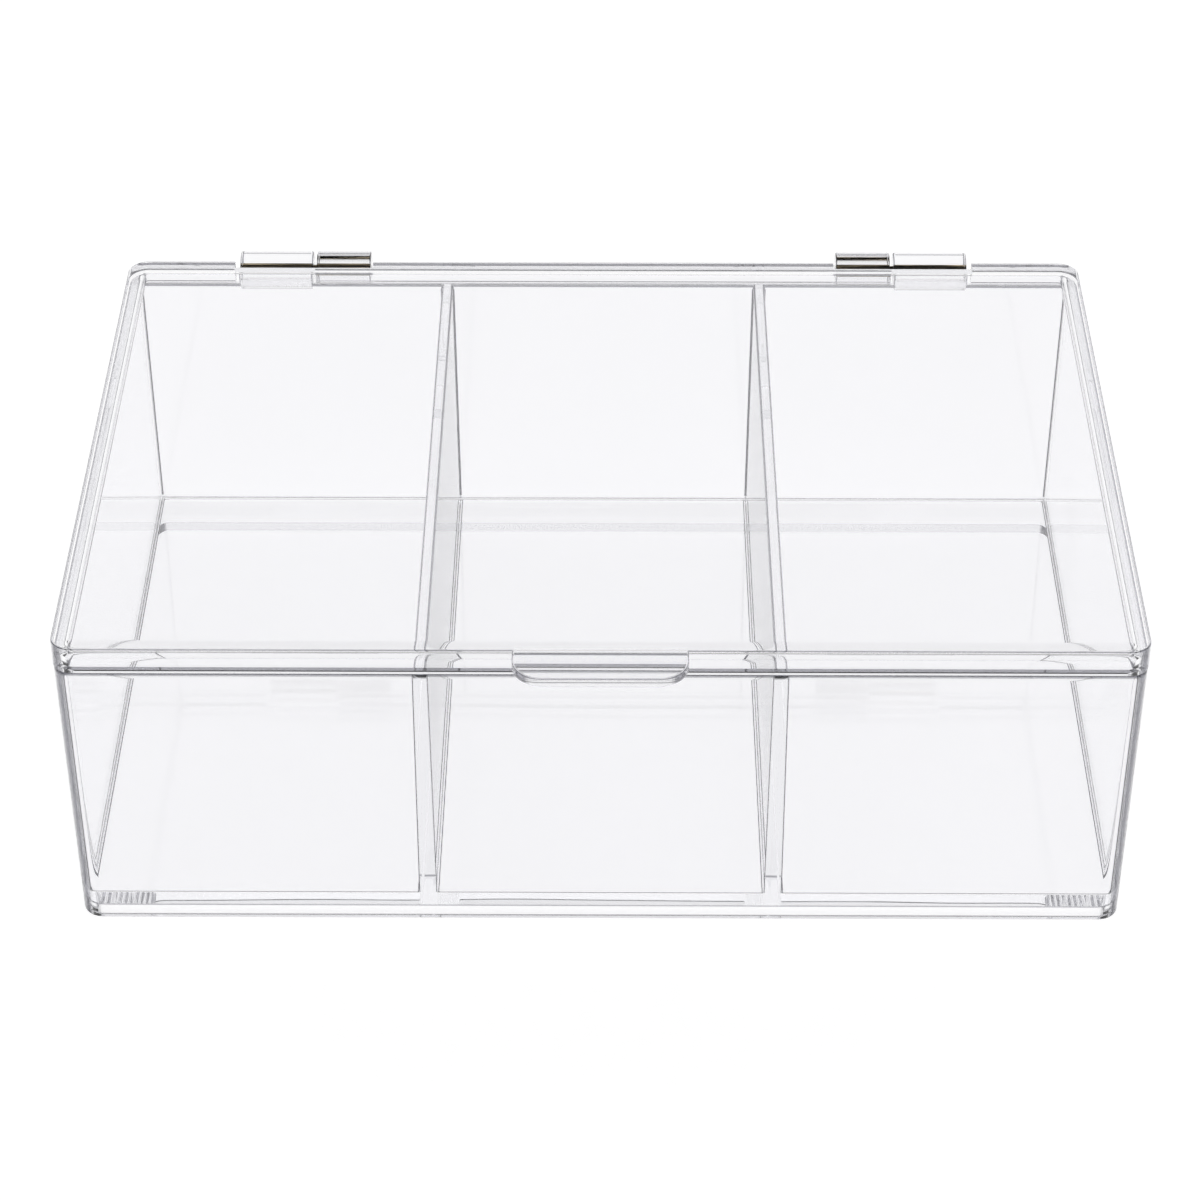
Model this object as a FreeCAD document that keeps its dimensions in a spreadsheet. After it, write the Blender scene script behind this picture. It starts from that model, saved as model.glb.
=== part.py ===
import FreeCAD, Part
import math
import os
import Sketcher
from FreeCAD import Placement, Rotation, Vector

# Clear moulded storage box with three compartments and a hinged lid.
# Millimetres, +X to the right, +Y to the back, +Z up; the origin is the middle of the foot.

doc = FreeCAD.newDocument("StorageBox")

# Driving dimensions
sheet = doc.addObject("Spreadsheet::Sheet", "size")
driving_sizes = [
    ("box_width", 250.0, "outside width over the lid"),
    ("box_depth", 167.0, "outside depth over the lid, without tab and hinges"),
    ("base_height", 74.9, "table to the top of the tray's rim"),
    ("corner_radius", 5.0, "corner of the box in plan"),
    ("wall", 3.0, "tray wall at the rim"),
    ("divider", 3.0, "divider at the rim"),
    ("wall_draft", 0.3, "degrees of draft on walls and dividers"),
    ("pocket_radius", 2.0, "compartment corner in plan"),
    ("pocket_fillet", 1.2, "compartment floor to wall"),
    ("rim_round", 1.0, "rounding along the compartment mouths"),
    ("rim_outer_round", 1.3, "rounding along the outside of the rim"),
    ("floor_level", 6.5, "table to the compartment floor"),
    ("foot_recess", 3.0, "hollow under the floor"),
    ("foot_width", 3.2, "side of the box to the hollow under the floor"),
    ("foot_back", 13.0, "back of the box to that hollow"),
    ("foot_radius", 7.0, "corner of the hollow in plan"),
    ("foot_chamfer", 0.5, "outside edge of the foot"),
    ("lid_overhang", 0.2, "how far the lid stands out over the tray"),
    ("seam_gap", 0.2, "gap between the closed lid and the rim"),
    ("lid_height", 6.9, "outside height of the lid"),
    ("lid_panel", 2.5, "thickness of the lid's flat panel"),
    ("lid_wall", 3.0, "thickness of the lid's skirt"),
    ("lid_draft", 1.0, "degrees of draft on the skirt"),
    ("lid_pocket_radius", 2.5, "inside corner of the lid in plan"),
    ("lid_fillet", 2.2, "panel to skirt inside the lid"),
    ("lid_round", 0.5, "outside top edge of the lid"),
    ("lid_edge_chamfer", 0.6, "inside lower edge of the skirt"),
    ("seam_chamfer", 0.25, "outside lower edge of the lid"),
    ("tab_width", 40.0, "thumb tab across"),
    ("tab_reach", 10.2, "thumb tab in front of the lid"),
    ("tab_thickness", 2.5, "thumb tab from top to underside"),
    ("tab_radius", 7.0, "thumb tab corners in plan"),
    ("tab_round", 0.6, "thumb tab edges"),
    ("hinge_inset", 28.8, "side of the box to a hinge's outer end"),
    ("base_knuckle", 19.4, "length of the tray's knuckle"),
    ("lid_knuckle", 14.3, "length of the lid's knuckle"),
    ("knuckle_gap", 0.9, "gap between the two knuckles"),
    ("knuckle_radius", 4.4, "outside radius of a knuckle"),
    ("knuckle_clearance", 0.3, "gap between a knuckle and the back face"),
    ("knuckle_chamfer", 0.6, "chamfer at the ends of a knuckle"),
    ("shoulder", 1.2, "top of a knuckle's web above the hinge axis"),
    ("boss_inset", 0.1, "front of the tray's knuckle behind the wall's inside face"),
    ("notch_depth", 3.5, "notch in the lid's back edge at a hinge"),
    ("notch_margin", 1.0, "how far the notch's cutter reaches past the lid"),
    ("axis_rise", 2.1, "hinge axis above the rim"),
    ("heel_step", 0.9, "stop heel short of the knuckle's lowest point"),
    ("pin_diameter", 1.5, "hinge pin"),
    ("pin_chamfer", 0.15, "chamfer at the pin's ends"),
    ("pin_inset", 0.3, "pin ends inside the knuckle ends"),
    ("running_clearance", 0.06, "radial play of the lid's knuckle on the pin"),
]
for row, (alias, value, meaning) in enumerate(driving_sizes, start=1):
    sheet.set(f"A{row}", meaning)
    sheet.set(f"B{row}", str(value))
    sheet.setAlias(f"B{row}", alias)
doc.recompute()

# Places shared by several pieces, as expressions of the driving dimensions
LID_BOTTOM = "(size.base_height + size.seam_gap)"
LID_TOP = "(size.base_height + size.seam_gap + size.lid_height)"
BACK_FACE = "(size.box_depth / 2)"
AXIS_Y = "(size.box_depth / 2 + size.knuckle_radius + size.knuckle_clearance)"
AXIS_Z = "(size.base_height + size.axis_rise)"
POCKET_WIDTH = "((size.box_width - 2 * size.wall - 2 * size.divider) / 3)"
POCKET_DEPTH = "(size.box_depth - 2 * size.wall)"
HINGE_END = "(size.box_width / 2 - size.hinge_inset)"
BASE_KNUCKLE_START = f"({HINGE_END} - size.base_knuckle)"
LID_KNUCKLE_END = f"({BASE_KNUCKLE_START} - size.knuckle_gap)"
LID_KNUCKLE_START = f"({LID_KNUCKLE_END} - size.lid_knuckle)"
TOLERANCE = 1e-4


def number(expression):
    """Value of an expression of the driving dimensions."""
    return float(sheet.evalExpression(expression))


def plane(body, role):
    """One of the body's own origin planes."""
    return [item for item in body.Origin.OriginFeatures if item.Role == role][0]


def new_sketch(body, name, role, offset="0"):
    """Sketch on one of the body's origin planes, moved along the plane's normal."""
    sketch = body.newObject("Sketcher::SketchObject", name)
    sketch.AttachmentSupport = [(plane(body, role), "")]
    sketch.MapMode = "FlatFace"
    sketch.setExpression("AttachmentOffset.Base.z", offset)
    return sketch


def dimension(sketch, name, kind, elements, expression):
    """Named sketch dimension that follows an expression."""
    index = sketch.addConstraint(Sketcher.Constraint(kind, *elements, number(expression)))
    sketch.renameConstraint(index, name)
    sketch.setExpression(f"Constraints.{name}", expression)


def rounded_rectangle(sketch, name, right, back, width, depth, radius):
    """Rectangle with round corners, placed by its right and back sides."""
    x_high, y_high = number(right), number(back)
    x_low, y_low = x_high - number(width), y_high - number(depth)
    r = number(radius)
    corners = [
        (x_high - r, y_low + r, -90),
        (x_high - r, y_high - r, 0),
        (x_low + r, y_high - r, 90),
        (x_low + r, y_low + r, 180),
    ]
    sides = [
        (Vector(x_low + r, y_low), Vector(x_high - r, y_low)),
        (Vector(x_high, y_low + r), Vector(x_high, y_high - r)),
        (Vector(x_high - r, y_high), Vector(x_low + r, y_high)),
        (Vector(x_low, y_high - r), Vector(x_low, y_low + r)),
    ]
    lines = []
    arcs = []
    for (start, end), (x, y, angle) in zip(sides, corners):
        lines.append(sketch.addGeometry(Part.LineSegment(start, end)))
        circle = Part.Circle(Vector(x, y), Vector(0, 0, 1), r)
        turn = Part.ArcOfCircle(circle, math.radians(angle), math.radians(angle + 90))
        arcs.append(sketch.addGeometry(turn))
    for side in range(4):
        following = lines[(side + 1) % 4]
        sketch.addConstraint(Sketcher.Constraint("Tangent", lines[side], 2, arcs[side], 1))
        sketch.addConstraint(Sketcher.Constraint("Tangent", arcs[side], 2, following, 1))
        direction = "Horizontal" if side % 2 == 0 else "Vertical"
        sketch.addConstraint(Sketcher.Constraint(direction, lines[side]))
    for arc in arcs[1:]:
        sketch.addConstraint(Sketcher.Constraint("Equal", arcs[0], arc))
    dimension(sketch, f"{name}_radius", "Radius", (arcs[0],), radius)
    dimension(sketch, f"{name}_width", "DistanceX", (lines[3], 1, lines[1], 1), width)
    dimension(sketch, f"{name}_depth", "DistanceY", (lines[0], 1, lines[2], 1), depth)
    dimension(sketch, f"{name}_right", "DistanceX", (-1, 1, lines[1], 1), right)
    dimension(sketch, f"{name}_back", "DistanceY", (-1, 1, lines[2], 1), back)


def rectangle(sketch, name, middle, width, depth):
    """Rectangle with square corners about a point on the X axis."""
    x, half_width, half_depth = number(middle), number(width) / 2, number(depth) / 2
    corners = [
        Vector(x - half_width, -half_depth),
        Vector(x + half_width, -half_depth),
        Vector(x + half_width, half_depth),
        Vector(x - half_width, half_depth),
    ]
    lines = []
    for start, end in zip(corners, corners[1:] + corners[:1]):
        lines.append(sketch.addGeometry(Part.LineSegment(start, end)))
    for side in range(4):
        following = lines[(side + 1) % 4]
        sketch.addConstraint(Sketcher.Constraint("Coincident", lines[side], 2, following, 1))
        direction = "Horizontal" if side % 2 == 0 else "Vertical"
        sketch.addConstraint(Sketcher.Constraint(direction, lines[side]))
    dimension(sketch, f"{name}_width", "DistanceX", (lines[0], 1, lines[0], 2), width)
    dimension(sketch, f"{name}_depth", "DistanceY", (lines[1], 1, lines[1], 2), depth)
    dimension(sketch, f"{name}_right", "DistanceX", (-1, 1, lines[1], 1), f"{middle} + {width} / 2")
    dimension(sketch, f"{name}_back", "DistanceY", (-1, 1, lines[1], 2), f"{depth} / 2")


def outline(sketch, corners):
    """Closed outline through corners given as pairs of expressions; every corner is placed.

    A corner with a third item ends an arc about the hinge axis that starts at the corner before
    it: "cw" runs clockwise and "ccw" anticlockwise.
    """
    points = [Vector(number(corner[0]), number(corner[1])) for corner in corners]
    axis = Vector(number(AXIS_Y), number(AXIS_Z))
    edges = []
    for index, corner in enumerate(corners):
        start, end = points[index - 1], points[index]
        if len(corner) == 2:
            edges.append(sketch.addGeometry(Part.LineSegment(start, end)))
            continue
        low, high = (end, start) if corner[2] == "cw" else (start, end)
        circle = Part.Circle(axis, Vector(0, 0, 1), (start - axis).Length)
        angles = [math.atan2(p.y - axis.y, p.x - axis.x) for p in (low, high)]
        edges.append(sketch.addGeometry(Part.ArcOfCircle(circle, *angles)))
    for index, corner in enumerate(corners):
        following = corners[(index + 1) % len(corners)]
        end = 1 if corner[2:] == ("cw",) else 2
        start = 2 if following[2:] == ("cw",) else 1
        joined = edges[(index + 1) % len(corners)]
        sketch.addConstraint(Sketcher.Constraint("Coincident", edges[index], end, joined, start))
        dimension(sketch, f"across_{index}", "DistanceX", (-1, 1, edges[index], end), corner[0])
        dimension(sketch, f"up_{index}", "DistanceY", (-1, 1, edges[index], end), corner[1])
        if len(corner) == 3:
            level = abs(points[index - 1].y - points[index].y) < TOLERANCE
            kind, place = ("DistanceY", AXIS_Z) if level else ("DistanceX", AXIS_Y)
            dimension(sketch, f"centre_{index}", kind, (-1, 1, edges[index], 3), place)


def extrude(body, kind, name, sketch, length, taper="0", reverse=False):
    """Pad or pocket of a sketch that must add or remove material."""
    before = body.Shape.Volume if body.Tip else 0.0
    feature = body.newObject(f"PartDesign::{kind}", name)
    feature.Profile = sketch
    feature.Reversed = reverse
    feature.setExpression("Length", length)
    feature.setExpression("TaperAngle", taper)
    doc.recompute()
    gained = feature.Shape.Volume - before
    if (gained > TOLERANCE) != (kind == "Pad"):
        raise RuntimeError(f"{name} changed the volume the wrong way")
    return feature


def soften(body, kind, name, size_name, expression, wanted):
    """Fillet or chamfer on every edge of the body's tip that the test wants."""
    tip = body.Tip
    names = [f"Edge{i}" for i, edge in enumerate(tip.Shape.Edges, start=1) if wanted(edge)]
    if not names:
        raise RuntimeError(f"{name} found no edge")
    feature = body.newObject(f"PartDesign::{kind}", name)
    feature.Base = (tip, names)
    feature.setExpression(size_name, expression)
    doc.recompute()
    return feature


def lies_at(edge, level):
    """Whether a whole edge lies at one height."""
    box = edge.BoundBox
    return abs(box.ZMin - level) < TOLERANCE and abs(box.ZMax - level) < TOLERANCE


def mirror(body, name, features):
    """Copy of features on the other side of the box's middle plane."""
    copy = body.newObject("PartDesign::Mirrored", name)
    copy.Originals = features
    copy.MirrorPlane = (plane(body, "YZ_Plane"), [""])
    body.Tip = copy
    doc.recompute()
    return copy


def circle_about_axis(sketch, radius):
    """Circle about the hinge axis."""
    centre = Vector(number(AXIS_Y), number(AXIS_Z))
    circle = sketch.addGeometry(Part.Circle(centre, Vector(0, 0, 1), number(radius)))
    dimension(sketch, "radius", "Radius", (circle,), radius)
    dimension(sketch, "across", "DistanceX", (-1, 1, circle, 3), AXIS_Y)
    dimension(sketch, "up", "DistanceY", (-1, 1, circle, 3), AXIS_Z)


def bore(body, name, start, length, radius):
    """Hole for the pin right through a knuckle."""
    sketch = new_sketch(body, f"{name}_circle", "YZ_Plane", start)
    circle_about_axis(sketch, radius)
    return extrude(body, "Pocket", name, sketch, length, reverse=True)


def on_knuckle_end(edge):
    """Round end edges of a knuckle."""
    box = edge.BoundBox
    if edge.Degenerated or box.XMax - box.XMin > TOLERANCE:
        return False
    if not isinstance(edge.Curve, Part.Circle):
        return False
    return abs(edge.Curve.Radius - number("size.knuckle_radius")) < TOLERANCE


# Tray: one moulding with its two dividers, standing on a ring
base = doc.addObject("PartDesign::Body", "BaseTray")
base.Label = "base_tray"

tray_outline = new_sketch(base, "tray_outline", "XY_Plane", "size.base_height")
rounded_rectangle(
    tray_outline,
    "tray",
    "size.box_width / 2 - size.lid_overhang",
    "size.box_depth / 2 - size.lid_overhang",
    "size.box_width - 2 * size.lid_overhang",
    "size.box_depth - 2 * size.lid_overhang",
    "size.corner_radius",
)
extrude(base, "Pad", "tray_block", tray_outline, "size.base_height", "-size.wall_draft", True)
soften(base, "Chamfer", "foot_edge", "Size", "size.foot_chamfer", lambda edge: lies_at(edge, 0.0))
soften(
    base,
    "Fillet",
    "rim_outer_edge",
    "Radius",
    "size.rim_outer_round",
    lambda edge: lies_at(edge, number("size.base_height")),
)

pocket_outlines = new_sketch(base, "pocket_outlines", "XY_Plane", "size.base_height")
for place, name in ((-1, "left"), (0, "middle"), (1, "right")):
    middle = f"{place} * ({POCKET_WIDTH} + size.divider)"
    rectangle(pocket_outlines, name, middle, POCKET_WIDTH, POCKET_DEPTH)
pocket_drop = "size.base_height - size.floor_level"
extrude(base, "Pocket", "compartments", pocket_outlines, pocket_drop, "-size.wall_draft")


def in_compartment_corner(edge):
    """Upright edges of the compartments."""
    box = edge.BoundBox
    inside_x = max(abs(box.XMin), abs(box.XMax)) < number("size.box_width / 2 - size.wall / 2")
    inside_y = max(abs(box.YMin), abs(box.YMax)) < number("size.box_depth / 2 - size.wall / 2")
    return box.ZMax - box.ZMin > number("size.base_height / 2") and inside_x and inside_y


soften(
    base, "Fillet", "compartment_corners", "Radius", "size.pocket_radius", in_compartment_corner
)
soften(
    base,
    "Fillet",
    "compartment_floors",
    "Radius",
    "size.pocket_fillet",
    lambda edge: lies_at(edge, number("size.floor_level")),
)


def on_compartment_mouth(edge):
    """Rim edges that lie inside the outer outline."""
    box = edge.BoundBox
    inside_x = max(abs(box.XMin), abs(box.XMax)) < number("size.box_width / 2 - 0.75 * size.wall")
    inside_y = max(abs(box.YMin), abs(box.YMax)) < number("size.box_depth / 2 - 0.75 * size.wall")
    return lies_at(edge, number("size.base_height")) and inside_x and inside_y


soften(base, "Fillet", "compartment_mouths", "Radius", "size.rim_round", on_compartment_mouth)

foot_outline = new_sketch(base, "foot_outline", "XY_Plane")
rounded_rectangle(
    foot_outline,
    "hollow",
    "size.box_width / 2 - size.foot_width",
    "size.box_depth / 2 - size.foot_back",
    "size.box_width - 2 * size.foot_width",
    "size.box_depth - size.foot_width - size.foot_back",
    "size.foot_radius",
)
extrude(base, "Pocket", "foot_hollow", foot_outline, "size.foot_recess", "-size.wall_draft", True)

# The tray's knuckles: each stands on a boss that fills the wall and rises into the lid's notch
base_lug = new_sketch(base, "base_lug_outline", "YZ_Plane", BASE_KNUCKLE_START)
boss_front = f"({BACK_FACE} - size.wall + size.boss_inset)"
SHOULDER_Z = f"({AXIS_Z} + size.shoulder)"
shoulder_meet = "sqrt(size.knuckle_radius ^ 2 - size.shoulder ^ 2)"
outline(
    base_lug,
    [
        (boss_front, f"({AXIS_Z} - size.knuckle_radius)"),
        (boss_front, SHOULDER_Z),
        (f"({AXIS_Y} - {shoulder_meet})", SHOULDER_Z),
        (AXIS_Y, f"({AXIS_Z} - size.knuckle_radius)", "cw"),
    ],
)
base_lug_pad = extrude(base, "Pad", "base_lug", base_lug, "size.base_knuckle")
base_bore = bore(
    base, "base_bore", BASE_KNUCKLE_START, "size.base_knuckle", "size.pin_diameter / 2"
)
mirror(base, "base_lug_pair", [base_lug_pad, base_bore])
soften(base, "Chamfer", "base_knuckle_ends", "Size", "size.knuckle_chamfer", on_knuckle_end)

# Lid: one moulding, a shallow tray upside down, with its thumb tab
lid = doc.addObject("PartDesign::Body", "LidCover")
lid.Label = "lid_cover"

lid_outline = new_sketch(lid, "lid_outline", "XY_Plane", LID_BOTTOM)
rounded_rectangle(
    lid_outline,
    "lid",
    "size.box_width / 2",
    "size.box_depth / 2",
    "size.box_width",
    "size.box_depth",
    "size.corner_radius",
)
extrude(lid, "Pad", "lid_block", lid_outline, "size.lid_height", "-size.lid_draft")
soften(
    lid,
    "Chamfer",
    "lid_seam_edge",
    "Size",
    "size.seam_chamfer",
    lambda edge: lies_at(edge, number(LID_BOTTOM)),
)

tab_outline = new_sketch(lid, "tab_outline", "XY_Plane", LID_TOP)
rounded_rectangle(
    tab_outline,
    "tab",
    "size.tab_width / 2",
    "-size.box_depth / 2 + size.lid_wall + size.tab_radius",
    "size.tab_width",
    "size.tab_reach + size.lid_wall + size.tab_radius",
    "size.tab_radius",
)
extrude(lid, "Pad", "thumb_tab", tab_outline, "size.tab_thickness", reverse=True)
soften(
    lid,
    "Fillet",
    "lid_top_edge",
    "Radius",
    "size.lid_round",
    lambda edge: lies_at(edge, number(LID_TOP)),
)


def under_tab(edge):
    """Lower edges of the tab in front of the lid."""
    in_front = edge.BoundBox.YMin < number("-size.box_depth / 2 - size.tab_round")
    return lies_at(edge, number(f"{LID_TOP} - size.tab_thickness")) and in_front


soften(lid, "Fillet", "tab_lower_edge", "Radius", "size.tab_round", under_tab)

lid_hollow = new_sketch(lid, "lid_hollow_outline", "XY_Plane", LID_BOTTOM)
rounded_rectangle(
    lid_hollow,
    "hollow",
    "size.box_width / 2 - size.lid_wall",
    "size.box_depth / 2 - size.lid_wall",
    "size.box_width - 2 * size.lid_wall",
    "size.box_depth - 2 * size.lid_wall",
    "size.lid_pocket_radius",
)
hollow_drop = "size.lid_height - size.lid_panel"
extrude(lid, "Pocket", "lid_hollow", lid_hollow, hollow_drop, "-size.lid_draft", True)
soften(
    lid,
    "Fillet",
    "lid_inner_corner",
    "Radius",
    "size.lid_fillet",
    lambda edge: lies_at(edge, number(f"{LID_TOP} - size.lid_panel"))
    and edge.BoundBox.YMin > number("-size.box_depth / 2"),
)


def inside_skirt(edge):
    """Inside edges at the foot of the lid's skirt."""
    box = edge.BoundBox
    inside_x = max(abs(box.XMin), abs(box.XMax)) < number("size.box_width / 2 - size.lid_wall / 2")
    inside_y = max(abs(box.YMin), abs(box.YMax)) < number("size.box_depth / 2 - size.lid_wall / 2")
    return lies_at(edge, number(LID_BOTTOM)) and inside_x and inside_y


soften(lid, "Chamfer", "skirt_inner_edge", "Size", "size.lid_edge_chamfer", inside_skirt)

# Notches in the lid's back edge: a slope over the whole hinge, right through at the tray's knuckle
notch_front = f"({BACK_FACE} - size.notch_depth)"
notch_back = f"({BACK_FACE} + size.notch_margin)"
above_lid = f"({LID_TOP} + size.notch_margin)"
below_lid = f"({LID_BOTTOM} - size.notch_margin)"
slope_outline = new_sketch(
    lid, "slope_outline", "YZ_Plane", f"({LID_KNUCKLE_START} - size.knuckle_gap)"
)
outline(
    slope_outline,
    [
        (notch_front, LID_TOP),
        (BACK_FACE, SHOULDER_Z),
        (notch_back, SHOULDER_Z),
        (notch_back, above_lid),
        (notch_front, above_lid),
    ],
)
slope_length = "size.lid_knuckle + size.base_knuckle + 3 * size.knuckle_gap"
hinge_slope = extrude(lid, "Pocket", "hinge_slope", slope_outline, slope_length, reverse=True)

notch_outline = new_sketch(lid, "notch_outline", "YZ_Plane", LID_KNUCKLE_END)
outline(
    notch_outline,
    [
        (notch_front, below_lid),
        (notch_back, below_lid),
        (notch_back, above_lid),
        (notch_front, above_lid),
    ],
)
notch_length = "size.base_knuckle + 2 * size.knuckle_gap"
hinge_notch = extrude(lid, "Pocket", "hinge_notch", notch_outline, notch_length, reverse=True)

# The lid's knuckles: a web to the skirt above the rim and a heel that stops the open lid
lid_lug = new_sketch(lid, "lid_lug_outline", "YZ_Plane", LID_KNUCKLE_START)
heel_drop = "(size.knuckle_radius - size.heel_step)"
heel_meet = f"sqrt(size.knuckle_radius ^ 2 - {heel_drop} ^ 2)"
skirt_root = f"({BACK_FACE} - size.lid_wall / 2)"
outline(
    lid_lug,
    [
        (skirt_root, AXIS_Z),
        (skirt_root, SHOULDER_Z),
        (f"({AXIS_Y} - {shoulder_meet})", SHOULDER_Z),
        (f"({AXIS_Y} + size.knuckle_radius)", AXIS_Z, "cw"),
        (f"({AXIS_Y} + size.knuckle_radius)", f"({AXIS_Z} - {heel_drop})"),
        (f"({AXIS_Y} - {heel_meet})", f"({AXIS_Z} - {heel_drop})"),
        (f"({AXIS_Y} - size.knuckle_radius)", AXIS_Z, "cw"),
    ],
)
lid_lug_pad = extrude(lid, "Pad", "lid_lug", lid_lug, "size.lid_knuckle")
lid_bore = bore(
    lid,
    "lid_bore",
    LID_KNUCKLE_START,
    "size.lid_knuckle",
    "size.pin_diameter / 2 + size.running_clearance",
)
mirror(lid, "lid_lug_pair", [hinge_slope, hinge_notch, lid_lug_pad, lid_bore])
soften(lid, "Chamfer", "lid_knuckle_ends", "Size", "size.knuckle_chamfer", on_knuckle_end)

# Hinge pins: plain drawn wire, held by the tray's knuckles
pins = []
for label, start in (
    ("hinge_pin_left", f"-{HINGE_END} + size.pin_inset"),
    ("hinge_pin_right", f"{LID_KNUCKLE_START} + size.pin_inset"),
):
    pin = doc.addObject("PartDesign::Body", "".join(word.title() for word in label.split("_")))
    pin.Label = label
    section = new_sketch(pin, f"{label}_section", "YZ_Plane", start)
    circle_about_axis(section, "size.pin_diameter / 2")
    pin_length = "size.base_knuckle + size.knuckle_gap + size.lid_knuckle - 2 * size.pin_inset"
    extrude(pin, "Pad", f"{label}_wire", section, pin_length)
    soften(pin, "Chamfer", f"{label}_ends", "Size", "size.pin_chamfer", lambda edge: edge.isClosed())
    pins.append(pin)

# Every object has to be sound before anything is written
doc.recompute()
for item in doc.Objects:
    if {"Invalid", "Error"} & set(item.State):
        raise RuntimeError(f"{item.Label} failed: {item.State}")
os.makedirs("parts", exist_ok=True)
for piece in [base, lid] + pins:
    if piece.Shape.isNull() or not piece.Shape.isValid() or len(piece.Shape.Solids) != 1:
        raise RuntimeError(f"{piece.Label} is not one sound solid")
    piece.Placement = Placement(Vector(0, 0, 0), Rotation())
    piece.Shape.exportStep(f"parts/{piece.Label}.step")
    print(piece.Label, round(piece.Shape.Volume, 1), "cubic mm")
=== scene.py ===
import math

import bpy
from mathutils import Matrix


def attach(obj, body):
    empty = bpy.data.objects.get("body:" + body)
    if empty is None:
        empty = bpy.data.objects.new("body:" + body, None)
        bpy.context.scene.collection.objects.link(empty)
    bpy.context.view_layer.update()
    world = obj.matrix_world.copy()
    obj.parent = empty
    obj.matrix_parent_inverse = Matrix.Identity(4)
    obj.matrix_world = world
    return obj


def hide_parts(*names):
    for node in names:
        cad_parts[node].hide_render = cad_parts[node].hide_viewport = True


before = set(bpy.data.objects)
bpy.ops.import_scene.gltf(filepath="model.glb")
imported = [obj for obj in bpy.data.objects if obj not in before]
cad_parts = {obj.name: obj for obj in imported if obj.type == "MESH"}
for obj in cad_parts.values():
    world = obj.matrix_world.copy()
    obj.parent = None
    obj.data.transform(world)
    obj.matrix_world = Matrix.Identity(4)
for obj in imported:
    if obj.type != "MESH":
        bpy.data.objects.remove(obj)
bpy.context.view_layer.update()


# Tray: the box itself, one clear acrylic moulding with thin drafted walls, a floor and two
# dividers in one piece. It stands on a narrow ring round a shallow hollow, and its rim is
# rounded on both sides; the pieces' sizes are millimetres here, and metres in Blender.
mm = 0.001


def block(name, low, high):
    """Cube stretched between two corners."""
    bpy.ops.object.select_all(action="DESELECT")
    middle = [(a + b) / 2 * mm for a, b in zip(low, high)]
    size = [(b - a) * mm for a, b in zip(low, high)]
    bpy.ops.mesh.primitive_cube_add(size=1, location=middle, scale=size)
    bpy.ops.object.transform_apply(location=True, rotation=True, scale=True)
    bpy.context.object.name = name
    return bpy.context.object


def work_on(piece, mode):
    """Take one piece alone in hand, with nothing on it picked yet."""
    bpy.ops.object.select_all(action="DESELECT")
    bpy.context.view_layer.objects.active = piece
    piece.select_set(True)
    bpy.ops.object.mode_set(mode="EDIT")
    bpy.ops.mesh.select_mode(type=mode)
    bpy.ops.mesh.select_all(action="DESELECT")
    bpy.ops.object.mode_set(mode="OBJECT")


def round_edges(piece, wanted, radius, segments):
    """Round the edges whose two ends pass a test."""
    work_on(piece, "EDGE")
    points = piece.data.vertices
    for edge in piece.data.edges:
        edge.select = wanted(*[points[i].co / mm for i in edge.vertices])
    bpy.ops.object.mode_set(mode="EDIT")
    bpy.ops.mesh.bevel(offset=radius * mm, segments=segments, affect="EDGES", clamp_overlap=False)
    bpy.ops.object.mode_set(mode="OBJECT")


def upright(a, b):
    """Whether an edge runs up and down."""
    return abs(a.z - b.z) > 0.5 * (a - b).length


def level_at(height):
    """Test for edges that lie at one height."""
    tolerance = 0.002
    return lambda a, b: abs(a.z - height) < tolerance and abs(b.z - height) < tolerance


def pick_faces(piece, wanted):
    """Enter edit mode with the faces picked whose normal and middle pass a test."""
    work_on(piece, "FACE")
    for face in piece.data.polygons:
        face.select = wanted(face.normal, face.center / mm)
    bpy.ops.object.mode_set(mode="EDIT")


def facing_up(normal, middle):
    """Whether a face looks up."""
    return normal.z > 0.9


def facing_down(normal, middle):
    """Whether a face looks down."""
    return normal.z < -0.9


def draw_out(rise):
    """Draw the picked face up, or down, into a new step."""
    bpy.ops.mesh.extrude_region_move(TRANSFORM_OT_translate={"value": (0, 0, rise * mm)})


def spread_face(low, high, spread):
    """Move the outline of the picked level face, which lies between two corners, out on all sides."""
    middle = [(a + b) / 2 * mm for a, b in zip(low, high)]
    scale = [(b - a + 2 * spread) / (b - a) for a, b in zip(low[:2], high[:2])]
    bpy.ops.transform.resize(value=(scale[0], scale[1], 1), center_override=middle)


# Walls: a block with drafted sides, round upright corners, a soft foot edge and a round rim
half_width = 124.8
half_depth = 83.3
rim_top = 74.9
wall_draft = math.tan(math.radians(0.3))
corner_round = 5
foot_round = 0.5
rim_round = 1.3
body_low = (-half_width, -half_depth, 0)
body_high = (half_width, half_depth, rim_top)
tray = block("tray", body_low, body_high)
pick_faces(tray, facing_down)
spread_face(body_low, body_high, -rim_top * wall_draft)
bpy.ops.object.mode_set(mode="OBJECT")
round_edges(tray, upright, corner_round, segments=12)
round_edges(tray, level_at(0), foot_round, segments=4)
round_edges(tray, level_at(rim_top), rim_round, segments=7)

# Compartments: one tapered core with a round floor edge and a flared mouth, used three times
wall = 2.8
compartment_half_width = 39.667
compartment_pitch = 82.333
floor_level = 6.5
floor_round = 0.7
mouth_round = 1.0
inside_corner_round = 0.3
overcut = 0.002
core_low = (-compartment_half_width, wall - half_depth, floor_level + floor_round)
core_high = (compartment_half_width, half_depth - wall, rim_top - mouth_round + overcut)
core_taper = (core_high[2] - core_low[2]) * wall_draft
core = block("compartment_core", core_low, core_high)
pick_faces(core, facing_down)
spread_face(core_low, core_high, -core_taper)
bpy.ops.object.mode_set(mode="OBJECT")
round_edges(core, upright, inside_corner_round, segments=4)


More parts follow.
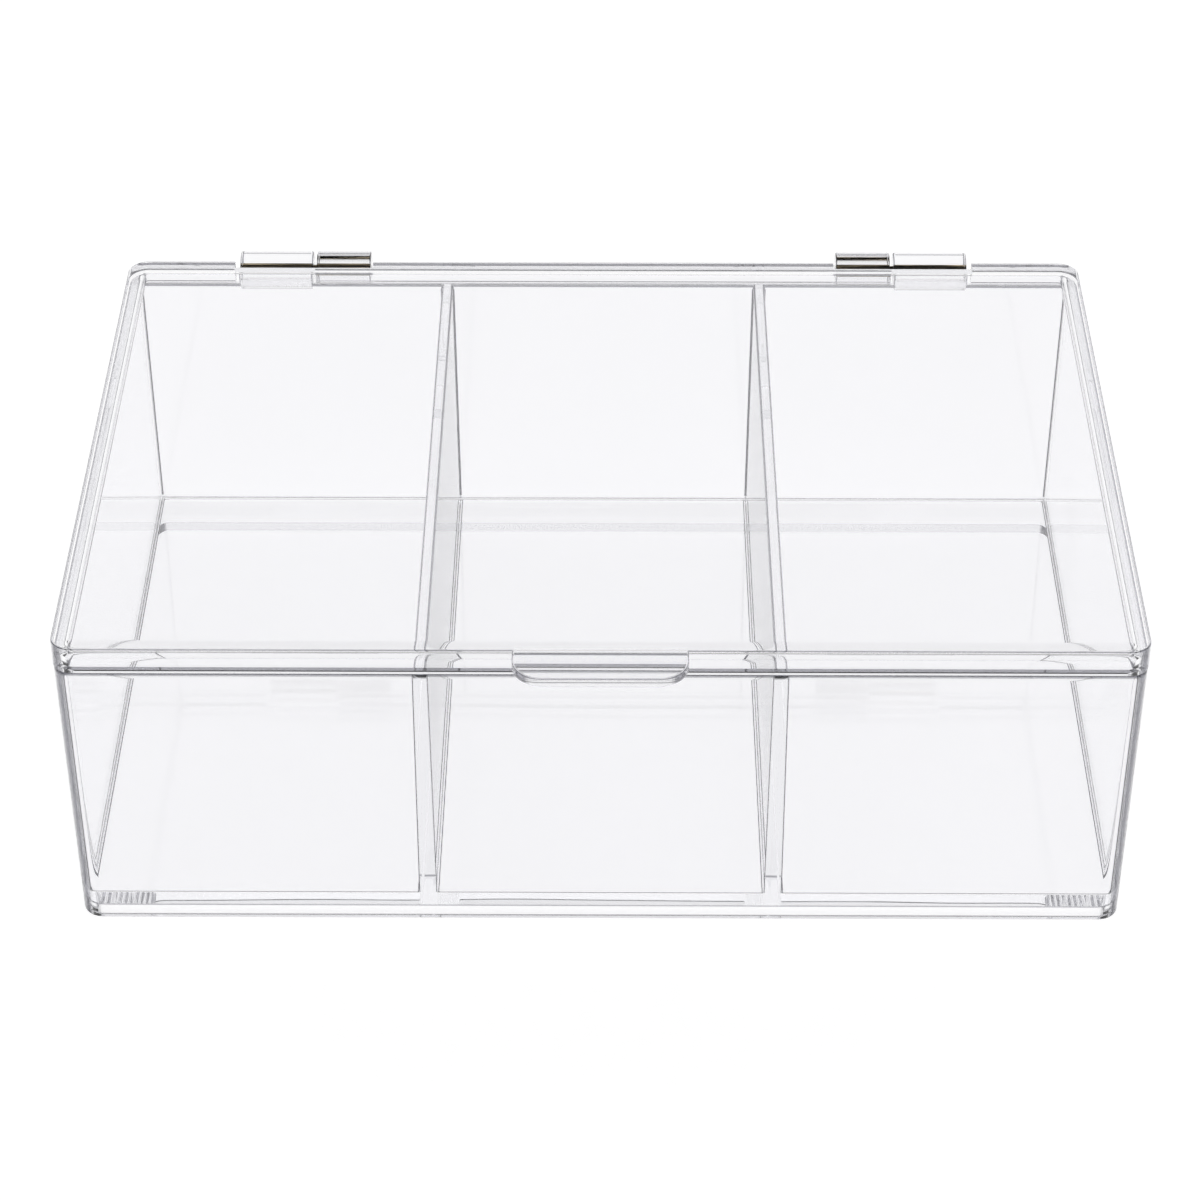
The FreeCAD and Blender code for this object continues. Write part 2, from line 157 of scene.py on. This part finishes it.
def curl_face(low, high, radius, steps, side):
    """Draw the picked level face round a quarter circle, wider upwards or narrower downwards."""
    for step in range(steps):
        before, after = (math.pi / 2 * turn / steps for turn in (step, step + 1))
        reach = side * radius * (1 - math.cos(before))
        near = [edge - reach for edge in low[:2]] + [0]
        far = [edge + reach for edge in high[:2]] + [0]
        draw_out(side * radius * (math.sin(after) - math.sin(before)))
        spread_face(near, far, side * radius * (math.cos(before) - math.cos(after)))


def turn_outwards():
    """Turn every face of the piece in hand outwards and leave edit mode."""
    bpy.ops.mesh.select_all(action="SELECT")
    bpy.ops.mesh.normals_make_consistent(inside=False)
    bpy.ops.object.mode_set(mode="OBJECT")


def combine(piece, tool, operation):
    """Weld a tool shape to a piece or cut it away."""
    work_on(piece, "FACE")
    change = piece.modifiers.new("combine", "BOOLEAN")
    change.operation = operation
    change.solver = "EXACT"
    change.object = tool
    bpy.ops.object.modifier_apply(modifier=change.name)
    bpy.data.objects.remove(tool)


def copy_along(piece, distance):
    """Copy of a shape with a mesh of its own, moved along X."""
    work_on(piece, "FACE")
    bpy.ops.object.duplicate()
    bpy.ops.transform.translate(value=(distance * mm, 0, 0))
    bpy.ops.object.transform_apply(location=True, rotation=True, scale=True)
    return bpy.context.object


past_rim = 1
pick_faces(core, facing_up)
curl_face(core_low, core_high, mouth_round, steps=6, side=1)
draw_out(past_rim)
bpy.ops.object.mode_set(mode="OBJECT")
pick_faces(core, lambda normal, middle: facing_down(normal, middle) and middle.z < rim_top / 2)
bottom_low = [edge + core_taper for edge in core_low[:2]]
bottom_high = [edge - core_taper for edge in core_high[:2]]
curl_face(bottom_low, bottom_high, floor_round, steps=5, side=-1)
turn_outwards()
for distance in (-compartment_pitch, compartment_pitch):
    combine(tray, copy_along(core, distance), "DIFFERENCE")
combine(tray, core, "DIFFERENCE")

# Hollow under the floor, which leaves the ring that the box stands on, wider at the back
hollow_top = 3
hollow_top_round = 0.4
hollow_corner_round = 3
ring_width = 3
ring_width_back = 12.8
ring_inner_round = 0.3
below_foot = -2
slack = 0.1
hollow_side = half_width - ring_width
hollow_front = ring_width - half_depth
hollow_back = half_depth - ring_width_back


def clean(piece):
    """Merge what the cuts left double and lay flat faces together again."""
    work_on(piece, "VERT")
    bpy.ops.object.mode_set(mode="EDIT")
    bpy.ops.mesh.select_all(action="SELECT")
    bpy.ops.mesh.remove_doubles(threshold=0.0005 * mm)
    bpy.ops.mesh.dissolve_limited(angle_limit=math.radians(0.02))
    turn_outwards()


def round_the_hollow(a, b):
    """Whether an edge at the foot runs round the hollow and not round the outside."""
    inside_x = max(abs(a.x), abs(b.x)) < hollow_side + slack
    inside_y = min(a.y, b.y) > hollow_front - slack and max(a.y, b.y) < hollow_back + slack
    return level_at(0)(a, b) and inside_x and inside_y


hollow = block(
    "foot_hollow", (-hollow_side, hollow_front, below_foot), (hollow_side, hollow_back, hollow_top)
)
round_edges(hollow, upright, hollow_corner_round, segments=8)
round_edges(hollow, level_at(hollow_top), hollow_top_round, segments=3)
combine(tray, hollow, "DIFFERENCE")
clean(tray)
round_edges(tray, round_the_hollow, ring_inner_round, segments=3)

# Knuckles of the tray: barrels on bosses that fill the back wall, bored for the pins
hinge_y = 88.2
hinge_z = 77.0
knuckle_radius = 4.4
barrel_sides = 72
bore_radius = 0.75
bore_sides = 40
tray_knuckle_ends = (76.8, 96.2)
tray_knuckle_round = 0.6
boss_front = 80.6
shoulder_z = hinge_z + knuckle_radius * math.sin(math.radians(15))
above_axis = hinge_z + 0.5


def rod(name, ends, radius, sides):
    """Round bar on the hinge line, between two places along X."""
    bpy.ops.object.select_all(action="DESELECT")
    bpy.ops.mesh.primitive_cylinder_add(
        vertices=sides,
        radius=radius * mm,
        depth=(ends[1] - ends[0]) * mm,
        location=(sum(ends) / 2 * mm, hinge_y * mm, hinge_z * mm),
        rotation=(0, math.pi / 2, 0),
    )
    bpy.ops.object.transform_apply(location=True, rotation=True, scale=True)
    bpy.context.object.name = name
    return bpy.context.object


def flatten(piece, axis, level, wanted):
    """Bring the points that pass a test to one level along an axis."""
    work_on(piece, "VERT")
    for point in piece.data.vertices:
        point.select = wanted(point.co / mm)
    bpy.ops.object.mode_set(mode="EDIT")
    keep = [0 if letter == axis else 1 for letter in "xyz"]
    bpy.ops.transform.resize(value=keep, center_override=[level * mm] * 3)
    bpy.ops.object.mode_set(mode="OBJECT")


def round_an_end(a, b):
    """Whether an edge lies square to the hinge line, as round the end of a barrel."""
    return abs(a.x - b.x) < 0.01


def bore(barrel, ends):
    """Drill a barrel for its pin, from past one end to past the other."""
    past_end = 5
    drill = rod("pin_hole", (ends[0] - past_end, ends[1] + past_end), bore_radius, bore_sides)
    combine(barrel, drill, "DIFFERENCE")


def at_both_hinges(piece, tool, ends, operation):
    """Use a shape drawn at the right hinge on a piece, first at the left hinge, then in place."""
    combine(piece, copy_along(tool, -sum(ends)), operation)
    combine(piece, tool, operation)


knuckle = rod("tray_knuckle", tray_knuckle_ends, knuckle_radius, barrel_sides)
flatten(knuckle, "y", boss_front, lambda p: p.y < hinge_y - slack and p.z < shoulder_z - slack)
flatten(knuckle, "z", shoulder_z, lambda p: p.y < boss_front + slack and p.z > above_axis)
clean(knuckle)
round_edges(knuckle, round_an_end, tray_knuckle_round, segments=4)
bore(knuckle, tray_knuckle_ends)
at_both_hinges(tray, knuckle, tray_knuckle_ends, "UNION")

# Finish of the mouldings: smooth rounded edges, and painted shade, dark lines in the colour of each
# face by its place and rounding
crease = math.radians(32)


def painted_edge_shade(normal, spot, rounding):
    """How much painted shade a face gets, from its place and its rounding, which is 1 at the middle
    of an edge.
    """
    soft = min(rounding, 0.8)
    at_hinge = spot.y > 83.6
    if at_hinge:
        # Painted shade at the hinges: a grey line along the top of each barrel and darker barrel ends
        painted_top_line = normal.z > 0.998 and spot.y > hinge_y - 1
        end_of_barrel = 0.2 < abs(normal.x) < 0.98
        return 0.72 if painted_top_line else soft * end_of_barrel
    behind_floor = spot.y > 78 and spot.z < 9
    under_lid_panel = normal.z < -0.1 and spot.z > 76.5
    if behind_floor or under_lid_panel:
        return 0
    # Painted shade in the compartments: dark lines along the rounded upright corners and edges
    in_compartment = abs(spot.x) < 121.9 and abs(spot.y) < 80.6 and 6.4 < spot.z < 73.9
    if in_compartment:
        upright_corner = abs(normal.z) < 0.1
        return rounding > 0.1 if upright_corner else 0.1 < rounding < 0.3
    on_back_wall = spot.y > 77 and spot.z < 73
    return 0 if on_back_wall else soft


def polish(piece):
    """Smooth shading over the rounded edges, with each face's painted shade in an attribute."""
    clean(piece)
    # The edge attribute holds the painted shade of each face.
    edges = piece.data.attributes.new("edge", "FLOAT", "FACE")
    for face in piece.data.polygons:
        turn = math.acos(min(1, max(abs(part) for part in face.normal)))
        rounding = turn / math.radians(45)
        edges.data[face.index].value = painted_edge_shade(face.normal, face.center / mm, rounding)
    bpy.ops.object.shade_smooth_by_angle(angle=crease)
    flats = piece.modifiers.new("flats", "WEIGHTED_NORMAL")
    flats.weight = 100
    flats.keep_sharp = True
    bpy.ops.object.modifier_apply(modifier=flats.name)


polish(tray)

# Clear acrylic: polished and very slightly cool, with the faint waviness that the melt leaves on
# moulded flats, painted shade along its rounded edges, where the edge attribute darkens its colour
# into grey and nearly black lines, and hairline rub marks that show only in its roughness.
acrylic = bpy.data.materials.new("clear_acrylic")
acrylic.use_nodes = True
nodes = acrylic.node_tree.nodes
links = acrylic.node_tree.links
surface = nodes["Principled BSDF"]
surface.inputs["Transmission Weight"].default_value = 1
surface.inputs["IOR"].default_value = 1.49


def blend(kind, first, second):
    """Two colours blended in full."""
    mix = nodes.new("ShaderNodeMix")
    mix.data_type = "RGBA"
    mix.blend_type = kind
    mix.inputs["Factor"].default_value = 1
    links.new(first, mix.inputs["A"])
    links.new(second, mix.inputs["B"])
    return mix.outputs["Result"]


position = nodes.new("ShaderNodeTexCoord")
flow = nodes.new("ShaderNodeTexNoise")
flow.inputs["Scale"].default_value = 14
flow.inputs["Detail"].default_value = 1
links.new(position.outputs["Object"], flow.inputs["Vector"])
waviness = nodes.new("ShaderNodeBump")
waviness.inputs["Strength"].default_value = 0.03
waviness.inputs["Distance"].default_value = 0.002
links.new(flow.outputs["Fac"], waviness.inputs["Height"])
links.new(waviness.outputs["Normal"], surface.inputs["Normal"])
tone = nodes.new("ShaderNodeValToRGB")
tone.color_ramp.elements[0].color = (0.932, 0.931, 0.942, 1)
tone.color_ramp.elements[1].color = (0.945, 0.944, 0.955, 1)
links.new(flow.outputs["Fac"], tone.inputs["Fac"])
# Painted shade: the edge attribute darkens the base colour along the rounded edges, down to nearly
# black at their middles.
edge = nodes.new("ShaderNodeAttribute")
edge.attribute_name = "edge"
painted_edge_shade_ramp = nodes.new("ShaderNodeValToRGB")
painted_edge_shade_ramp.color_ramp.elements[0].position = 0.5
painted_edge_shade_ramp.color_ramp.elements[0].color = (1, 1, 1, 1)
painted_edge_shade_ramp.color_ramp.elements[1].position = 0.8
painted_edge_shade_ramp.color_ramp.elements[1].color = (0.13, 0.13, 0.15, 1)
painted_edge_shade_ramp.color_ramp.elements.new(1).color = (0.02, 0.02, 0.025, 1)
links.new(edge.outputs["Fac"], painted_edge_shade_ramp.inputs["Fac"])
tone_with_painted_edge_shade = blend("MULTIPLY", tone.outputs["Color"], painted_edge_shade_ramp.outputs["Color"])
links.new(tone_with_painted_edge_shade, surface.inputs["Base Color"])
rubs = nodes.new("ShaderNodeTexNoise")
rubs.inputs["Scale"].default_value = 350
rubs.inputs["Detail"].default_value = 3
stretch = nodes.new("ShaderNodeMapping")
stretch.inputs["Scale"].default_value = (0.15, 1, 1)
links.new(position.outputs["Object"], stretch.inputs["Vector"])
links.new(stretch.outputs["Vector"], rubs.inputs["Vector"])
gloss = nodes.new("ShaderNodeMapRange")
gloss.inputs["From Min"].default_value = 0.55
gloss.inputs["From Max"].default_value = 0.8
gloss.inputs["To Min"].default_value = 0.0
gloss.inputs["To Max"].default_value = 0.015
links.new(rubs.outputs["Fac"], gloss.inputs["Value"])
links.new(gloss.outputs["Result"], surface.inputs["Roughness"])
depth_tint = nodes.new("ShaderNodeVolumeAbsorption")
depth_tint.inputs["Color"].default_value = (0.45, 0.45, 0.55, 1)
depth_tint.inputs["Density"].default_value = 1
links.new(depth_tint.outputs["Volume"], nodes["Material Output"].inputs["Volume"])
tray.data.materials.append(acrylic)
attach(tray, "base")
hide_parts("base_tray")


# Hinge pins: two lengths of plain drawn steel wire, pressed through the tray's knuckles, on
# which the lid turns. Their ends are cropped, lightly broken and sit just inside the barrels,
# and they are drawn a hair proud of their bores, so that the steel meets the plastic.
pin_ends = (61.9, 95.9)
pin_radius = bore_radius + 0.005
pin_end_round = 0.15
pin_right = rod("pin_right", pin_ends, pin_radius, bore_sides)
round_edges(pin_right, round_an_end, pin_end_round, segments=2)
work_on(pin_right, "FACE")
bpy.ops.object.shade_smooth_by_angle(angle=crease)
pin_left = copy_along(pin_right, -sum(pin_ends))
pin_left.name = "pin_left"

# Pin steel: dark wire with painted highlights, bright gold streaks painted into its colour along it,
# and drawn lines in its roughness
steel = bpy.data.materials.new("pin_steel")
steel.use_nodes = True
nodes = steel.node_tree.nodes
links = steel.node_tree.links
surface = nodes["Principled BSDF"]
surface.inputs["Metallic"].default_value = 1
position = nodes.new("ShaderNodeTexCoord")
stretch = nodes.new("ShaderNodeMapping")
stretch.inputs["Scale"].default_value = (60, 6000, 6000)
drawn_lines_and_painted_highlights = nodes.new("ShaderNodeTexNoise")
drawn_lines_and_painted_highlights.inputs["Scale"].default_value = 1
drawn_lines_and_painted_highlights.inputs["Detail"].default_value = 2
links.new(position.outputs["Object"], stretch.inputs["Vector"])
links.new(stretch.outputs["Vector"], drawn_lines_and_painted_highlights.inputs["Vector"])
# Painted highlights: the bright gold end of this ramp paints glints along the dark wire.
dark_wire_with_painted_highlights = nodes.new("ShaderNodeValToRGB")
dark_wire_with_painted_highlights.color_ramp.elements[0].position = 0.5
dark_wire_with_painted_highlights.color_ramp.elements[0].color = (0.012, 0.01, 0.008, 1)
dark_wire_with_painted_highlights.color_ramp.elements[1].position = 0.62
dark_wire_with_painted_highlights.color_ramp.elements[1].color = (0.75, 0.62, 0.42, 1)
links.new(drawn_lines_and_painted_highlights.outputs["Fac"], dark_wire_with_painted_highlights.inputs["Fac"])
links.new(dark_wire_with_painted_highlights.outputs["Color"], surface.inputs["Base Color"])
sheen = nodes.new("ShaderNodeMapRange")
sheen.inputs["To Min"].default_value = 0.18
sheen.inputs["To Max"].default_value = 0.38
links.new(drawn_lines_and_painted_highlights.outputs["Fac"], sheen.inputs["Value"])
links.new(sheen.outputs["Result"], surface.inputs["Roughness"])
for pin, node in ((pin_left, "hinge_pin_left"), (pin_right, "hinge_pin_right")):
    pin.data.materials.append(steel)
    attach(pin, "base")
    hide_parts(node)


# Lid: the second clear moulding, a shallow tray upside down with a short skirt that stands on
# the rim. The thumb tab runs out of its top face at the front, and a knuckle beside each of
# the tray's hangs it on the pins.
lid_half_width = 125
lid_half_depth = 83.5
lid_bottom = 75.1
lid_top = 82.0
lid_draft = math.tan(math.radians(1))
lid_top_round = 0.5
skirt_foot_round = 0.25
lid_low = (-lid_half_width, -lid_half_depth, lid_bottom)
lid_high = (lid_half_width, lid_half_depth, lid_top)
lid = block("lid", lid_low, lid_high)
pick_faces(lid, facing_up)
spread_face(lid_low, lid_high, -(lid_top - lid_bottom) * lid_draft)
bpy.ops.object.mode_set(mode="OBJECT")
round_edges(lid, upright, corner_round, segments=12)
round_edges(lid, level_at(lid_bottom), skirt_foot_round, segments=3)

# Thumb tab: as thick as the panel, with round corners and a soft lower edge
panel_under = 79.5
tab_half_width = 20
tab_front = -93.7
tab_root = -82
tab_corner_round = 7
tab_under_round = 0.6


def at_tab_front(a, b):
    """Whether an edge is one of the tab's two front corners."""
    return upright(a, b) and a.y < tab_front + 1


def under_tab(a, b):
    """Whether an edge runs round the underside of the tab, in front of the lid."""
    return level_at(panel_under)(a, b) and min(a.y, b.y) < -lid_half_depth - 0.5


tab = block(
    "thumb_tab", (-tab_half_width, tab_front, panel_under), (tab_half_width, tab_root, lid_top)
)
round_edges(tab, at_tab_front, tab_corner_round, segments=14)
combine(lid, tab, "UNION")
clean(lid)
round_edges(lid, level_at(lid_top), lid_top_round, segments=5)
round_edges(lid, under_tab, tab_under_round, segments=4)

# Hollow of the lid, with a deep fillet under the panel and a chamfer at the skirt's foot
skirt = 3
skirt_chamfer = 0.6
chamfer_cut = skirt_chamfer + 0.01
skirt_corner_round = 2.5
panel_fillet = 2.2
below_skirt = -1
skirt_low = (skirt - lid_half_width, skirt - lid_half_depth, lid_bottom + skirt_chamfer)
skirt_high = (lid_half_width - skirt, lid_half_depth - skirt, panel_under)
hollow = block("lid_hollow", skirt_low, skirt_high)
round_edges(hollow, upright, skirt_corner_round, segments=8)
round_edges(hollow, level_at(panel_under), panel_fillet, segments=7)
pick_faces(hollow, facing_down)
draw_out(-chamfer_cut)
spread_face(skirt_low, skirt_high, chamfer_cut)
draw_out(below_skirt)
turn_outwards()
combine(lid, hollow, "DIFFERENCE")

# Back edge at the hinges: a slope over both knuckles and a notch right through at the tray's
slope_ends = (60.7, 97.1)
slope_top_y = 80
slope_foot_z = 78.2
notch_ends = (75.9, 97.1)
notch_front = 80
past_back = lid_half_depth + 1
past_top = lid_top + 1
past_bottom = lid_bottom - 1
slope = block(
    "hinge_slope",
    (slope_ends[0], slope_top_y - 1, slope_foot_z),
    (slope_ends[1], past_back, past_top),
)
pick_faces(slope, lambda normal, middle: True)
bpy.ops.mesh.bisect(
    plane_co=(0, slope_top_y * mm, lid_top * mm),
    plane_no=(0, slope_foot_z - lid_top, slope_top_y - lid_half_depth),
    use_fill=True,
    clear_outer=True,
)
bpy.ops.object.mode_set(mode="OBJECT")
at_both_hinges(lid, slope, slope_ends, "DIFFERENCE")
notch = block(
    "hinge_notch",
    (notch_ends[0], notch_front, past_bottom),
    (notch_ends[1], past_back, past_top),
)
at_both_hinges(lid, notch, notch_ends, "DIFFERENCE")

# Knuckles of the lid: a barrel on a thin web, with a heel below that stops the open lid
lid_knuckle_ends = (61.6, notch_ends[0])
lid_knuckle_round = 0.5
heel_z = 73.5
heel_y = hinge_y + knuckle_radius
web_y = 82.0
knuckle = rod("lid_knuckle", lid_knuckle_ends, knuckle_radius, barrel_sides)
flatten(knuckle, "y", heel_y, lambda p: p.y > hinge_y and heel_z < p.z < hinge_z - slack)
flatten(
    knuckle, "z", heel_z,
    lambda p: p.z < heel_z or (p.y > heel_y - slack and p.z < heel_z + 2 * slack),
)
flatten(
    knuckle, "y", web_y,
    lambda p: p.y < hinge_y and hinge_z + slack < p.z < shoulder_z - slack,
)
flatten(knuckle, "z", shoulder_z, lambda p: p.y < web_y + slack and p.z > above_axis)
flatten(knuckle, "z", hinge_z, lambda p: p.y < web_y + slack and p.z < above_axis)
clean(knuckle)
round_edges(knuckle, round_an_end, lid_knuckle_round, segments=4)
bore(knuckle, lid_knuckle_ends)
at_both_hinges(lid, knuckle, lid_knuckle_ends, "UNION")
polish(lid)
lid.data.materials.append(acrylic)
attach(lid, "lid")
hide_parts("lid_cover")


# Table: a plain white sweep under the box, lit from below as a product table is, so that it
# stays white while the box still leaves a faint shadow on it.
table_size = 20000
table_gap = 0.2
bpy.ops.object.select_all(action="DESELECT")
bpy.ops.mesh.primitive_plane_add(size=table_size * mm, location=(0, 0, -table_gap * mm))
table = bpy.context.object
table.name = "table"
white = bpy.data.materials.new("white_table")
white.use_nodes = True
surface = white.node_tree.nodes["Principled BSDF"]
surface.inputs["Base Color"].default_value = (0.6, 0.6, 0.6, 1)
surface.inputs["Roughness"].default_value = 1
surface.inputs["Specular IOR Level"].default_value = 0
surface.inputs["Emission Color"].default_value = (1, 1, 1, 1)
surface.inputs["Emission Strength"].default_value = 0.93
table.data.materials.append(white)


# Studio: a bright sweep behind the box and a low bright band all round, dark overhead and at
# both sides and dim behind the camera, so that the clear walls stay light and their edges draw
# thin grey lines.
studio = bpy.data.worlds.new("studio")
bpy.context.scene.world = studio
studio.use_nodes = True
nodes = studio.node_tree.nodes
links = studio.node_tree.links
position = nodes.new("ShaderNodeTexCoord")
split = nodes.new("ShaderNodeSeparateXYZ")
links.new(position.outputs["Generated"], split.inputs["Vector"])


def calculate(kind, first, second=None):
    """One step of arithmetic on the direction."""
    step = nodes.new("ShaderNodeMath")
    step.operation = kind
    links.new(first, step.inputs[0])
    if isinstance(second, (int, float)):
        step.inputs[1].default_value = second
    elif second:
        links.new(second, step.inputs[1])
    return step.outputs["Value"]


def fade(angle, stops):
    """Brightness along an angle on a scale of 0 to 1; the first and last stops are given first."""
    ramp = nodes.new("ShaderNodeValToRGB")
    for index, (where, level) in enumerate(stops):
        point = ramp.color_ramp.elements[index] if index < 2 else ramp.color_ramp.elements.new(where)
        point.position = where
        point.color = (level, level, level, 1)
    links.new(angle, ramp.inputs["Fac"])
    return ramp.outputs["Color"]


# Height is 0 at the level and 1 overhead; from_back is 0 behind the box and 1 behind the camera
height = calculate("MULTIPLY", calculate("ARCSINE", split.outputs["Z"]), 2 / math.pi)
round_about = calculate("ARCTAN2", split.outputs["X"], split.outputs["Y"])
from_back = calculate("MULTIPLY", calculate("ABSOLUTE", round_about), 1 / math.pi)
by_height = fade(height, [(0.46, 1), (1, 0.05), (0.56, 0.3), (0.68, 0.05)])
by_side = fade(from_back, [(0.25, 1), (1, 0.3), (0.36, 0.05), (0.6, 0.05)])
low_band = fade(height, [(0.1, 1), (0.14, 0)])
studio_light = blend("LIGHTEN", blend("MULTIPLY", by_height, by_side), low_band)
links.new(studio_light, nodes["Background"].inputs["Color"])


# Camera: above the front of the box, looking down at it with a long lens. Its place is in
# metres, and the bounces are many, because light crosses many clear walls.
look_down = math.radians(37.19)
turn_left = math.radians(0.26)
lens = bpy.data.cameras.new("camera")
lens.sensor_width = 36
lens.lens = 103.74
camera = bpy.data.objects.new("camera", lens)
bpy.context.scene.collection.objects.link(camera)
camera.location = (0.0027, -0.6979, 0.5627)
camera.rotation_euler = (math.pi / 2 - look_down, 0, turn_left)
bpy.context.scene.camera = camera
bpy.context.scene.view_settings.view_transform = "Standard"
bpy.context.scene.cycles.max_bounces = 96
bpy.context.scene.cycles.transmission_bounces = 48
bpy.context.scene.cycles.glossy_bounces = 96
bpy.context.scene.cycles.use_denoising = True
